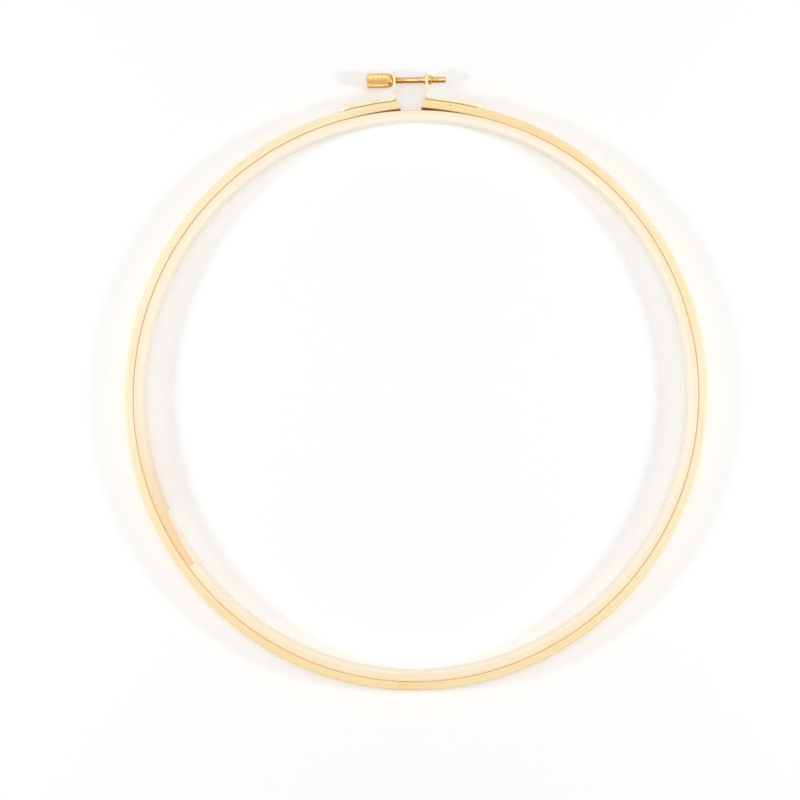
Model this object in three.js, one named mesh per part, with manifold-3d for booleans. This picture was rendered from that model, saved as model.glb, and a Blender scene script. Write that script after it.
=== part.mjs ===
// Wooden embroidery hoop with a brass screw clamp, lying flat.
// The inner ring is a closed wooden band. The outer ring is a band that is sawn open
// under the screw: its two arms are glued in a scarf joint at the far side, and spring
// apart when the screw is turned back. Each arm carries a bent brass strap whose ear
// stands up beside the slit. The screw runs through the plain hole of the left ear into
// a threaded bush that is swaged into the right ear.
//
// Millimetres, +Z up. The hoop stands on z = 0, the clamp points along +Y and the
// screw's head is at -X.

import * as THREE from 'three';
import { mergeVertices } from 'three/addons/utils/BufferGeometryUtils.js';
import Module from 'manifold-3d';

const wasm = await Module();
wasm.setup();

const rad = THREE.MathUtils.degToRad;

// Wooden rings
const outsideDiameter = 260;
const outerWall = 4;
const innerWall = 4;
const ringHeight = 9;
const clothRoom = 0.3; // between the two rings, where the cloth is gripped
const outsideEdge = 1; // soft edge round the outside of the hoop
const gapEdge = 0.25; // nearly sharp edges on both sides of the cloth gap
const insideEdge = 0.5;
const outOfRound = 0.8; // the bent wood has settled a little longer than wide
const longAxis = rad(74.3); // direction of the longer diameter, from +X

// Slit in the outer ring, under the screw
const slitWidth = 10.4; // at the middle of the wall
const slitSlant = rad(16); // the sawn ends open outwards
const leftLift = 0.6; // the ends spring off the inner ring by this much
const rightLift = 1;
const liftSpan = rad(14); // and start to leave it this far from the slit
const scarfSplit = 0.3; // between the two arms, in the middle of their scarf joint
const scarfAngle = rad(1.8); // which lies this far towards +X from opposite the slit

// Straps
const sheet = 1.2;
const strapWidth = 7.5;
const earSpacing = 13.2; // between the facing sides of the two ears
const footLength = 25; // from an ear, along the ring
const bendRadius = 1; // inside the bend
const screwStandoff = 9.1; // from the outer ring's right end to the screw's axis

// Screw and bush
const threadDiameter = 3;
const coreDiameter = 2.5; // the screw's rod without its thread
const shankLength = 23.7;
const shankChamfer = 0.3;
const headDiameter = 6.6;
const knurledLength = 10.1;
const knurlPitch = 1.05;
const knurlDepth = 0.34;
const headChamfer = 0.4;
const shoulderDiameter = 5.9; // where it leaves the head
const shoulderEnd = 5; // where it bears on the ear
const shoulderLength = 1.4;
const bushDiameter = 4.2;
const bushLength = 1.6;
const bushSpigot = 3.6; // its neck through the ear
const bushRoom = 0.1; // round the neck in the ear
const bushChamfer = 0.2;
const swageDiameter = 4.4;
const swageHeight = 0.35;
const screwRoom = 0.25; // round the screw in the left ear

// Rivets, through the strap's foot and the wood. Distances run from the ear, and the
// outer rivets keep theirs from the foot's end.
const leftRivets = [7.2, footLength - 4.7];
const rightRivets = [8.6, footLength - 3];
const rivetDiameter = 1.6;
const rivetHead = 3.2;
const rivetCrown = 0.55;
const rivetTail = 2.6;
const tailDepth = 0.4;
const rivetRoom = 0.2; // round the rivet in its hole

const seatRoom = 0.2; // between two faces that bear on each other

// How finely round shapes are divided
const armSteps = 60;
const bandSteps = 120;
const roundSteps = 24;
const bendSteps = 5;
const footSteps = 10;

// Worked out from the sizes above
const middle = ringHeight / 2;
const meanRadius = outsideDiameter / 2;
const clampAngle = Math.PI / 2;
const slitHalf = slitWidth / 2;
const slitHalfAngle = Math.asin(slitHalf / meanRadius);
const earMiddle = (earSpacing + sheet) / 2;
const slitEdge = fromClamp(1, slitHalfAngle);
const screwY = outsideFace(slitEdge) * Math.cos(slitHalfAngle) + screwStandoff;

// The outside of the outer ring, as a distance from the hoop's centre. Angles are in
// radians from +X.
function outsideFace(angle) {
  const fromSlit = Math.abs(angle - clampAngle);
  const reach = Math.max(0, (liftSpan - fromSlit) / (liftSpan - slitHalfAngle));
  const lift = angle > clampAngle ? leftLift : rightLift;
  return roundFace(angle) + lift * reach ** 2;
}

// The same face before its ends sprang off the inner ring
function roundFace(angle) {
  return meanRadius + outOfRound * Math.cos(2 * (angle - longAxis));
}

// An angle counted from the clamp, towards +X on side 1 and towards -X on side -1
function fromClamp(side, angle) {
  return clampAngle - side * angle;
}

function polar(radius, angle, z = 0) {
  return new THREE.Vector3(radius * Math.cos(angle), radius * Math.sin(angle), z);
}

// Joins outlines with the same number of points into one closed skin. The outlines
// are convex and run anticlockwise, seen from where the last one lies. Each quad is
// cut along the diagonal that cut(i, j) picks.
function loft(outlines, closed = false, cut = () => false) {
  const count = outlines[0].length;
  const rows = outlines.length;
  const index = [];
  for (let i = 0; i < (closed ? rows : rows - 1); i++) {
    const next = (i + 1) % rows;
    for (let j = 0; j < count; j++) {
      const a = i * count + j;
      const b = i * count + ((j + 1) % count);
      const c = next * count + ((j + 1) % count);
      const d = next * count + j;
      index.push(...(cut(i, j) ? [a, b, d, b, c, d] : [a, b, c, a, c, d]));
    }
  }
  for (let j = 1; j < count - 1 && !closed; j++) {
    const end = (rows - 1) * count;
    index.push(0, j + 1, j, end, end + j, end + j + 1);
  }
  const geometry = new THREE.BufferGeometry();
  geometry.setFromPoints(outlines.flat());
  geometry.setIndex(index);
  return geometry;
}

// Joining and cutting
function toSolid(geometry) {
  const bare = geometry.clone();
  bare.deleteAttribute('normal');
  bare.deleteAttribute('uv');
  const merged = mergeVertices(bare, 1e-5);
  const mesh = new wasm.Mesh({
    numProp: 3,
    vertProperties: new Float32Array(merged.attributes.position.array),
    triVerts: new Uint32Array(merged.index.array),
  });
  return new wasm.Manifold(mesh);
}

function toGeometry(solid) {
  const mesh = solid.getMesh();
  const geometry = new THREE.BufferGeometry();
  geometry.setAttribute('position', new THREE.BufferAttribute(mesh.vertProperties, 3));
  geometry.setIndex(new THREE.BufferAttribute(mesh.triVerts, 1));
  return geometry;
}

function carve(geometry, keep, remove) {
  let solid = toSolid(geometry);
  for (const shape of keep) solid = solid.intersect(toSolid(shape));
  for (const shape of remove) solid = solid.subtract(toSolid(shape));
  return toGeometry(solid);
}

// The section of a ring: x is 0 at its outside and -wall at its inside
function ringSection(wall, outsideRadius, outsideSteps, insideRadius, insideSteps) {
  const corners = [
    [-outsideRadius, outsideRadius, outsideRadius, outsideSteps, -Math.PI / 2],
    [-outsideRadius, ringHeight - outsideRadius, outsideRadius, outsideSteps, 0],
    [insideRadius - wall, ringHeight - insideRadius, insideRadius, insideSteps, Math.PI / 2],
    [insideRadius - wall, insideRadius, insideRadius, insideSteps, Math.PI],
  ];
  return corners.flatMap(([x, z, radius, steps, start]) =>
    Array.from({ length: steps + 1 }, (_, k) => {
      const turn = start + (k / steps) * (Math.PI / 2);
      return new THREE.Vector2(x + radius * Math.cos(turn), z + radius * Math.sin(turn));
    })
  );
}

function innerRing() {
  const section = ringSection(innerWall, gapEdge, 2, insideEdge, 2);
  const outlines = Array.from({ length: bandSteps }, (_, i) => {
    const angle = (-2 * Math.PI * i) / bandSteps;
    const outside = roundFace(angle) - outerWall - clothRoom;
    return section.map((p) => polar(outside + p.x, angle, p.y));
  });
  return loft(outlines, true);
}

// One arm of the outer ring, from its slanted end at the slit round to the scarf joint
function outerArm(side, rivets) {
  const section = ringSection(outerWall, outsideEdge, 3, gapEdge, 2);
  const outlines = Array.from({ length: armSteps + 1 }, (_, i) => {
    return section.map((p) => {
      const depth = p.x + outerWall / 2;
      const start = (slitHalf + depth * Math.tan(slitSlant)) / (meanRadius + p.x);
      const end = Math.PI - side * scarfAngle - scarfSplit / 2 / (meanRadius + p.x);
      const angle = fromClamp(side, start + (end - start) * (i / armSteps));
      return polar(outsideFace(angle) + p.x, angle, p.y);
    });
  });
  if (side < 0) outlines.reverse();
  const holes = rivets.map((distance) => rivet(side, distance, rivetRoom));
  return carve(loft(outlines), [], holes);
}

// The angle from the clamp of a place on a strap's foot, by its distance from the ear
function footAngle(distance) {
  return Math.asin(earMiddle / meanRadius) + distance / meanRadius;
}

// A rivet through foot and wood, or with room added the hole that it needs. It is turned
// about its own axis, which then points straight out of the ring.
function rivet(side, distance, room = 0) {
  const headFace = sheet + 2 * seatRoom;
  const tailFace = seatRoom - outerWall;
  const neck = rivetDiameter / 2 + room;
  const tail = rivetTail / 2 + room;
  const crown = room ? [[neck, headFace + rivetCrown], [0, headFace + rivetCrown]]
    : crownProfile(headFace);
  const profile = [
    [0, tailFace - 2 * room],
    [tail, tailFace - 2 * room],
    [tail, tailFace + tailDepth],
    [neck, tailFace + tailDepth + (tail - neck)],
    ...crown,
  ].map(([x, y]) => new THREE.Vector2(x, y));
  const angle = fromClamp(side, footAngle(distance));
  return new THREE.LatheGeometry(profile, roundSteps / 2)
    .rotateZ(angle - Math.PI / 2)
    .translate(...polar(outsideFace(angle), angle, middle));
}

function crownProfile(headFace) {
  const radius = rivetHead / 2;
  const dome = [0, 30, 60, 90].map((degrees) => [
    degrees === 90 ? 0 : radius * Math.cos(rad(degrees)),
    headFace + rivetCrown * Math.sin(rad(degrees)),
  ]);
  return [[rivetDiameter / 2, headFace], ...dome];
}

// Gives a line of points a thickness, half to each side
function thicken(points, thickness) {
  const sides = points.map((point, i) => {
    const before = points[Math.max(i - 1, 0)];
    const after = points[Math.min(i + 1, points.length - 1)];
    const along = after.clone().sub(before).normalize();
    const across = new THREE.Vector2(-along.y, along.x).multiplyScalar(thickness / 2);
    return [point.clone().add(across), point.clone().sub(across)];
  });
  return [...sides.map((pair) => pair[0]), ...sides.map((pair) => pair[1]).reverse()];
}

// A blank with one square and one round end, lying on X from 0 to length
function roundEnded(length, width, thickness) {
  const outline = new THREE.Shape();
  outline.moveTo(0, -width / 2);
  outline.lineTo(length - width / 2, -width / 2);
  outline.absarc(length - width / 2, 0, width / 2, -Math.PI / 2, Math.PI / 2, false);
  outline.lineTo(0, width / 2);
  const settings = { depth: thickness, bevelEnabled: false, curveSegments: roundSteps / 2 };
  return new THREE.ExtrudeGeometry(outline, settings).translate(0, 0, -thickness / 2);
}

function rodAlongX(diameter, length) {
  return new THREE.CylinderGeometry(diameter / 2, diameter / 2, length, roundSteps)
    .rotateZ(Math.PI / 2);
}

// A strap: its foot follows the outside of the ring, turns up in one bend beside the
// slit and ends in a round ear about the screw
function strap(side, earHole, rivets) {
  const footMiddle = (angle) => outsideFace(angle) + seatRoom + sheet / 2;
  const bend = bendRadius + sheet / 2;
  const bendAngle = Math.asin((earMiddle + bend) / (footMiddle(slitEdge) + bend));
  const pastFoot = footAngle(footLength + strapWidth / 2);
  const line = [];
  for (let i = 0; i < footSteps; i++) {
    const angle = fromClamp(side, pastFoot + (bendAngle - pastFoot) * (i / footSteps));
    line.push(polar(footMiddle(angle), angle));
  }
  const start = fromClamp(side, bendAngle);
  const centre = polar(footMiddle(start) + bend, start);
  for (let i = 0; i <= bendSteps; i++) {
    const toEar = side > 0 ? -Math.PI : 0;
    const turn = THREE.MathUtils.lerp(start - Math.PI, toEar, i / bendSteps);
    line.push(polar(bend, turn).add(centre));
  }
  line.push(new THREE.Vector3(side * earMiddle, screwY + strapWidth, 0));

  const flat = line.map((point) => new THREE.Vector2(point.x, point.y));
  const outline = new THREE.Shape(thicken(flat, sheet));
  const strip = new THREE.ExtrudeGeometry(outline, { depth: strapWidth, bevelEnabled: false })
    .translate(0, 0, middle - strapWidth / 2);

  const earLength = screwStandoff + footLength;
  const ear = roundEnded(earLength, strapWidth, 2 * meanRadius)
    .translate(screwY + strapWidth / 2 - earLength, 0, 0)
    .applyMatrix4(new THREE.Matrix4().makeBasis(axis.y, axis.z, axis.x))
    .translate(0, 0, middle);
  const footEnd = meanRadius * Math.sin(footAngle(footLength));
  const foot = roundEnded(footEnd, strapWidth, meanRadius)
    .applyMatrix4(new THREE.Matrix4().makeBasis(axis.x, axis.z, axis.y.clone().negate()))
    .rotateZ(side > 0 ? 0 : Math.PI)
    .translate(0, meanRadius, middle);

  const screwHole = rodAlongX(earHole, 2 * sheet)
    .translate(side * earMiddle, screwY, middle);
  const rivetHoles = rivets.map((distance) => rivet(side, distance, rivetRoom));
  return carve(strip, [ear, foot], [screwHole, ...rivetHoles]);
}

const axis = {
  x: new THREE.Vector3(1, 0, 0),
  y: new THREE.Vector3(0, 1, 0),
  z: new THREE.Vector3(0, 0, 1),
};

// The bush sits against the outside of the right ear, its neck goes through the ear
// and is swaged over on the inside
function threadedBush() {
  const bore = threadDiameter / 2;
  const inside = -sheet - seatRoom;
  const profile = [
    [bore, inside - swageHeight],
    [swageDiameter / 2 - swageHeight, inside - swageHeight],
    [swageDiameter / 2, inside],
    [bushSpigot / 2, inside],
    [bushSpigot / 2, seatRoom],
    [bushDiameter / 2, seatRoom],
    [bushDiameter / 2, bushLength - bushChamfer],
    [bushDiameter / 2 - bushChamfer, bushLength],
    [bore, bushLength],
    [bore, inside - swageHeight],
  ].map(([x, y]) => new THREE.Vector2(x, y));
  return new THREE.LatheGeometry(profile, roundSteps)
    .rotateZ(-Math.PI / 2)
    .translate(earMiddle + sheet / 2, screwY, middle);
}

// The thumb screw in one piece: diamond-knurled head, shoulder and rod. The knurl is a
// grid of points that stand out and in by turns, so that each point that stands out is
// the tip of a small four-sided pyramid.
function thumbScrew() {
  const columns = 2 * Math.round((Math.PI * headDiameter) / knurlPitch);
  const knurlRows = 2 * Math.round((knurledLength - 2 * headChamfer) / knurlPitch);
  const tip = headDiameter / 2;
  const valley = tip - knurlDepth;
  const core = coreDiameter / 2;
  const headEnd = -shoulderLength - knurledLength;

  const rows = [[headEnd, valley - headChamfer, valley - headChamfer]];
  const firstKnurl = headEnd + headChamfer;
  const lastKnurl = -shoulderLength - headChamfer;
  for (let i = 0; i <= knurlRows; i++) {
    const x = firstKnurl + ((lastKnurl - firstKnurl) * i) / knurlRows;
    const atEnd = i === 0 || i === knurlRows;
    rows.push([x, atEnd ? valley : tip, valley]);
  }
  rows.push([-shoulderLength, shoulderDiameter / 2, shoulderDiameter / 2]);
  rows.push([0, shoulderEnd / 2, shoulderEnd / 2]);
  rows.push([0, core, core]);
  rows.push([shankLength - shankChamfer, core, core]);
  rows.push([shankLength, core - shankChamfer, core - shankChamfer]);

  const outlines = rows.map(([x, even, odd], i) =>
    Array.from({ length: columns }, (_, j) => {
      const radius = (i + j) % 2 === 0 ? even : odd;
      const turn = (2 * Math.PI * j) / columns;
      return new THREE.Vector3(x, radius * Math.cos(turn), radius * Math.sin(turn));
    })
  );
  return loft(outlines, false, (i, j) => (i + j) % 2 === 0)
    .translate(-earMiddle - sheet / 2 - seatRoom, screwY, middle);
}

// Finishes
const beech = { color: 0xf0dcb0, roughness: 0.45, metalness: 0 };
const paleBeech = { color: 0xf4e6c6, roughness: 0.45, metalness: 0 };
const brassSheet = { color: 0xe6cf96, roughness: 0.35, metalness: 1 };
const brassRod = { color: 0xd7a65a, roughness: 0.3, metalness: 1 };

const hoop = new THREE.Group();

function add(name, geometry, finish) {
  const mesh = new THREE.Mesh(geometry, new THREE.MeshStandardMaterial(finish));
  mesh.name = name;
  hoop.add(mesh);
}

add('inner_ring', innerRing(), paleBeech);
const arms = [
  { side: -1, name: 'left', rivets: leftRivets, earHole: threadDiameter + 2 * screwRoom },
  { side: 1, name: 'right', rivets: rightRivets, earHole: bushSpigot + 2 * bushRoom },
];
for (const { side, name, rivets, earHole } of arms) {
  add(`outer_ring_${name}`, outerArm(side, rivets), beech);
  add(`strap_${name}`, strap(side, earHole, rivets), brassSheet);
  rivets.forEach((distance, i) => {
    add(`rivet_${name}_${i + 1}`, rivet(side, distance), brassSheet);
  });
}
add('threaded_bush', threadedBush(), brassRod);
add('thumb_screw', thumbScrew(), brassRod);

// The origin lies under the middle of the whole hoop, clamp included
const size = new THREE.Box3().setFromObject(hoop);
hoop.position.y = -(size.min.y + size.max.y) / 2;

const group = new THREE.Group();
group.add(hoop);

export default group;
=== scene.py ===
# The looks of a wooden embroidery hoop with a brass screw clamp, on a pale studio floor.
# The rings are bent from beech strips and glued in scarf joints. The clamp is two straps
# of brass sheet, four rivets, a threaded bush and a knurled thumb screw.
# Sizes here are in metres, in the frame's own axes: the hoop lies flat on z = 0, the
# clamp points along +Y and the screw's head is at -X.

import math
from functools import partial

import bmesh
import bpy
from mathutils import Matrix, Vector


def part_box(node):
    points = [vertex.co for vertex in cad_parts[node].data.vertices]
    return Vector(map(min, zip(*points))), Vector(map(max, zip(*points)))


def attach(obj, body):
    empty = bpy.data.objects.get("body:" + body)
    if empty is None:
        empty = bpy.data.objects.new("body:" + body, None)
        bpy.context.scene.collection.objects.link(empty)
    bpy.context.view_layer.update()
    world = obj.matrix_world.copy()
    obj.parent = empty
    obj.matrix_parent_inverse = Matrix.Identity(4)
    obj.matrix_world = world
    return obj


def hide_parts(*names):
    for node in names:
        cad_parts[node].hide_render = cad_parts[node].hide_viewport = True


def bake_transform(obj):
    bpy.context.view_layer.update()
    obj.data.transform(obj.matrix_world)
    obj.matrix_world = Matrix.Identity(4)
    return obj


bl_info = {
    "name": "Embroidery hoop",
    "version": (1, 0, 0),
    "blender": (4, 5, 0),
    "location": "View3D > Sidebar > Hoop",
    "description": "Dresses a packed embroidery hoop in beech and brass",
    "category": "Object",
}

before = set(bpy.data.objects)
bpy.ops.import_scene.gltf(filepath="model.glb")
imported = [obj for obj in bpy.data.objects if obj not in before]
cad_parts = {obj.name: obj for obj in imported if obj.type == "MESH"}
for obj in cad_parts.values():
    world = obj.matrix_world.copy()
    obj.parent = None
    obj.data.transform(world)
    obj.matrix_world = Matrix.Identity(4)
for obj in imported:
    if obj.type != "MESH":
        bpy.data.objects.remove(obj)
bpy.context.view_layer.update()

MM = 0.001
UP = Vector((0, 0, 1))

# Places and sizes that the frame gives
INNER_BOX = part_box("inner_ring")
SCREW_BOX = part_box("thumb_screw")
BUSH_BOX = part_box("threaded_bush")
EAR_BOXES = {-1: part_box("strap_left"), 1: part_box("strap_right")}
CENTRE_Y = (INNER_BOX[0].y + INNER_BOX[1].y) / 2
RING_HEIGHT = INNER_BOX[1].z - INNER_BOX[0].z
HALF_HEIGHT = RING_HEIGHT / 2
SCREW_Y = (SCREW_BOX[0].y + SCREW_BOX[1].y) / 2
HEAD_RADIUS = (SCREW_BOX[1].y - SCREW_BOX[0].y) / 2
STRAP_WIDTH = EAR_BOXES[1][1].z - EAR_BOXES[1][0].z

# The rings' shape, as it was bent
MEAN_RADIUS = 130 * MM
OUT_OF_ROUND = 0.8 * MM
LONG_AXIS = math.radians(74.3)
OUTER_WALL = 4 * MM
INNER_WALL = 4 * MM
CLOTH_ROOM = 0.3 * MM
CLAMP_ANGLE = math.radians(90)
SLIT_HALF = 5.2 * MM
SLIT_HALF_ANGLE = math.asin(SLIT_HALF / MEAN_RADIUS)
SLIT_SLANT = math.radians(16)
LIFT_SPAN = math.radians(14)
LIFTS = {-1: 0.6 * MM, 1: 1 * MM}

# The clamp's small sizes, which the boxes don't give
SHEET = 1.2 * MM
EAR_SPACING = 13.2 * MM
EAR_MIDDLE = EAR_SPACING / 2 + SHEET / 2
EAR_FACE = EAR_SPACING / 2 + SHEET
BEND_RADIUS = 1 * MM
SEAT_ROOM = 0.2 * MM
SCREW_HOLE = 3.5 * MM
BUSH_HOLE = 3.8 * MM
RIVETS = {-1: (7.2 * MM, 20.3 * MM), 1: (8.6 * MM, 22 * MM)}
RIVET_DIAMETER = 1.6 * MM
RIVET_HEAD = 3.2 * MM
RIVET_CROWN = 0.55 * MM
RIVET_TAIL = 2.6 * MM
TAIL_DEPTH = 0.4 * MM
TAIL_ROOM = 0.2 * MM
TAIL_SEAT_DEPTH = TAIL_DEPTH + SEAT_ROOM
HEAD_LENGTH = 10.1 * MM
HEAD_CHAMFER = 0.4 * MM
KNURL_VALLEY = HEAD_RADIUS - 0.34 * MM
SHOULDER_LENGTH = 1.4 * MM
SHOULDER_RADII = (2.95 * MM, 2.5 * MM)
CORE_RADIUS = 1.25 * MM
THREAD_RADIUS = 1.45 * MM
SHOULDER_X = SCREW_BOX[0].x + HEAD_LENGTH + SHOULDER_LENGTH
BUSH_LENGTH = BUSH_BOX[1].x - EAR_FACE
BUSH_RADIUS = 2.1 * MM
BUSH_NECK = 1.8 * MM
BUSH_BORE = 1.66 * MM
BUSH_CHAMFER = 0.2 * MM
SWAGE_RADIUS = 2.2 * MM
SWAGE_HEIGHT = 0.35 * MM

# The scarf joints. Each has a blunt end that shows on top as a line across the wall, and
# the other strip's feather end lies beside it, on the side away from the cloth gap.
INNER_SCARF = math.radians(-143.9)
OUTER_SCARF = math.radians(-94.6)
LAP_LENGTH = 29 * MM
STRIP_LENGTH = math.tau * MEAN_RADIUS

# What working the brass leaves on it, as the marks' size along X, Y and Z, and the size
# of the patches in which it tarnishes
ROLLING_MARKS = (1.2 * MM, 1.2 * MM, 0.09 * MM)
SHEAR_MARKS = (0.3 * MM, 0.3 * MM, 0.3 * MM)
LATHE_MARKS = (0.08 * MM, 0.5 * MM, 0.5 * MM)
TARNISH_PATCHES = (2.5 * MM, 2.5 * MM, 2.5 * MM)

# For spots in the wood, in millimetres: half the rings' height, and a reach past any edge
MIDDLE = HALF_HEIGHT / MM
ALL = 10000

# Kinds of node that come up often, and what several of them share: a range that falls
# from one to nothing, and a smooth one
MATH = "ShaderNodeMath"
VECTOR = "ShaderNodeVectorMath"
RANGE = "ShaderNodeMapRange"
MIX = "ShaderNodeMix"
AXES = "ShaderNodeSeparateXYZ"
FALLING = {"To Min": 1.0, "To Max": 0.0}
SMOOTH = {"interpolation_type": "SMOOTHSTEP"}


def linear(code):
    """An sRGB hex colour as linear red, green and blue."""
    parts = [int(code[i : i + 2], 16) / 255 for i in (1, 3, 5)]
    return [c / 12.92 if c <= 0.04045 else ((c + 0.055) / 1.055) ** 2.4 for c in parts]


def add_node(tree, kind, *inputs, **settings):
    """Adds a node with its settings. Its inputs come in order, or by name in a dictionary.
    Each gets a value, a link to a socket, or a link to another node's first output."""
    node = tree.nodes.new(kind)
    for name, value in settings.items():
        setattr(node, name, value)
    by_name = inputs and isinstance(inputs[0], dict)
    for key, value in inputs[0].items() if by_name else enumerate(inputs):
        if isinstance(value, bpy.types.Node):
            value = value.outputs[0]
        if isinstance(value, bpy.types.NodeSocket):
            tree.links.new(value, node.inputs[key])
        else:
            node.inputs[key].default_value = value
    return node


# Meshes


def new_object(name, mesh):
    piece = bpy.data.objects.new(name, mesh)
    bpy.context.scene.collection.objects.link(piece)
    return piece


def skin(name, rows, closed=False):
    """A mesh over rows of points. Each row is a ring, and the rows close up or are capped."""
    count = len(rows[0])
    faces = []
    for i in range(len(rows) if closed else len(rows) - 1):
        here = i * count
        there = (i + 1) % len(rows) * count
        for j in range(count):
            k = (j + 1) % count
            faces.append((here + j, here + k, there + k, there + j))
    if not closed:
        faces.append(tuple(reversed(range(count))))
        faces.append(tuple(range((len(rows) - 1) * count, len(rows) * count)))
    mesh = bpy.data.meshes.new(name)
    mesh.from_pydata([tuple(p) for row in rows for p in row], [], faces)
    return mesh


def turned(name, profile, steps):
    """A closed solid of revolution about X. The profile is pairs of x and radius."""
    rows = []
    for x, radius in profile:
        turns = [math.tau * j / steps for j in range(steps)]
        rows.append([(x, radius * math.cos(t), radius * math.sin(t)) for t in turns])
    closed = profile[0] == profile[-1]
    return skin(name, rows[:-1] if closed else rows, closed=closed)


def joined(name, meshes):
    """One mesh from several, which keep their own shells and their first material."""
    together = bmesh.new()
    for mesh in meshes:
        together.from_mesh(mesh)
    mesh = bpy.data.meshes.new(name)
    together.to_mesh(mesh)
    together.free()
    for material in meshes[0].materials:
        mesh.materials.append(material)
    return mesh


def settled(piece):
    """Puts what a piece's modifiers make into its mesh."""
    depsgraph = bpy.context.evaluated_depsgraph_get()
    mesh = bpy.data.meshes.new_from_object(piece.evaluated_get(depsgraph))
    piece.modifiers.clear()
    piece.data = mesh
    return piece


def smooth(piece, angle=35):
    """Shades a piece smooth, except over edges that turn more than the angle."""
    piece.data.shade_smooth()
    piece.data.set_sharp_from_angle(angle=math.radians(angle))


def outward(mesh):
    """Turns a closed mesh's faces to point out."""
    shell = bmesh.new()
    shell.from_mesh(mesh)
    bmesh.ops.recalc_face_normals(shell, faces=shell.faces)
    shell.to_mesh(mesh)
    shell.free()


# The rings


def round_face(angle):
    """The outside of the outer ring, as a distance from its centre, before it sprang."""
    return MEAN_RADIUS + OUT_OF_ROUND * math.cos(2 * (angle - LONG_AXIS))


def outside_face(angle):
    """The same face with its ends sprung off the inner ring, for angles from -90 to 270."""
    from_slit = abs(angle - CLAMP_ANGLE)
    reach = max(0, (LIFT_SPAN - from_slit) / (LIFT_SPAN - SLIT_HALF_ANGLE))
    side = -1 if angle > CLAMP_ANGLE else 1
    return round_face(angle) + LIFTS[side] * reach**2


def polar(radius, angle, z=0):
    return Vector((radius * math.cos(angle), CENTRE_Y + radius * math.sin(angle), z))


def section(wall, outside_radius, inside_radius, steps):
    """A ring's section, anticlockwise: pairs of depth from the outside, negative, and z."""
    corners = [
        (-outside_radius, outside_radius, outside_radius, -90),
        (-outside_radius, RING_HEIGHT - outside_radius, outside_radius, 0),
        (inside_radius - wall, RING_HEIGHT - inside_radius, inside_radius, 90),
        (inside_radius - wall, inside_radius, inside_radius, 180),
    ]
    points = []
    for x, z, radius, start in corners:
        for k in range(steps + 1):
            turn = math.radians(start + 90 * k / steps)
            points.append((x + radius * math.cos(turn), z + radius * math.sin(turn)))
    return with_flats(points)


def with_flats(points):
    """Divides a section's four flat sides, so that no face is much longer than wide."""
    parts = 4
    longest = 2 * MM
    divided = []
    for point, after in zip(points, points[1:] + points[:1]):
        divided.append(point)
        if math.dist(point, after) > longest:
            for k in range(1, parts):
                divided.append(tuple(a + (b - a) * k / parts for a, b in zip(point, after)))
    return divided


def drawn_in(point, wall, amount):
    """A section's point, moved towards the section's middle."""
    inward = Vector((-wall / 2, HALF_HEIGHT)) - Vector(point)
    return Vector(point) + inward.normalized() * amount


def angle_of(point):
    return math.atan2(point.y - CENTRE_Y, point.x)


def wrapped(angle, lowest):
    """The same angle, within a full turn above the lowest."""
    return lowest + (angle - lowest) % math.tau


def mark_grain(mesh, face, side, scarf):
    """Gives each corner of a ring its place in the straight strip that was bent: along it
    from its blunt end, in from the cloth gap, and up. The side is 1 for the outer ring
    and -1 for the inner one, which runs the other way round."""
    places = mesh.attributes.new("strip", "FLOAT_VECTOR", "CORNER")
    values = []
    for polygon in mesh.polygons:
        middle = angle_of(polygon.center)
        from_scarf = wrapped(side * (middle - scarf), 0)
        for vertex in polygon.vertices:
            point = mesh.vertices[vertex].co
            angle = angle_of(point)
            turn = from_scarf + side * wrapped(angle - middle, -math.pi)
            radius = math.hypot(point.x, point.y - CENTRE_Y)
            gap_face = face(wrapped(angle, -math.pi / 2)) - OUTER_WALL
            values.extend((turn * MEAN_RADIUS, side * (radius - gap_face), point.z))
    places.data.foreach_set("vector", values)


def stations(start, end, scarf, groove):
    """Places along a ring, close together where the scarf joint's blunt end shows."""
    step = 1 * MM
    count = round((end - start) / step)
    even = [start + (end - start) * i / count for i in range(count + 1)]
    clear = [s for s in even if abs(s - scarf) > 1.5 * groove or s in (start, end)]
    return sorted(clear + [scarf + k * groove for k in (-1, -0.5, 0, 0.5, 1)])


def make_inner_ring(looks):
    """A closed strip. Without cloth it almost touches the outer ring."""
    wall = INNER_WALL + CLOTH_ROOM - looks.cloth_gap
    shape = section(wall, looks.gap_edge, looks.inside_edge, steps=4)
    length = math.tau * (MEAN_RADIUS - OUTER_WALL - INNER_WALL / 2)
    rows = []
    for s in stations(-length / 2, length / 2, 0, looks.joint_groove)[:-1]:
        angle = INNER_SCARF - math.tau * s / length
        outside = round_face(angle) - OUTER_WALL - looks.cloth_gap
        dip = looks.groove_depth * max(0, 1 - abs(s) / looks.joint_groove)
        points = [drawn_in(point, wall, dip) for point in shape]
        rows.append([polar(outside + x, angle, z) for x, z in points])
    mesh = skin("inner_ring_wood", rows, closed=True)
    mark_grain(mesh, round_face, -1, INNER_SCARF)
    return mesh


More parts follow.
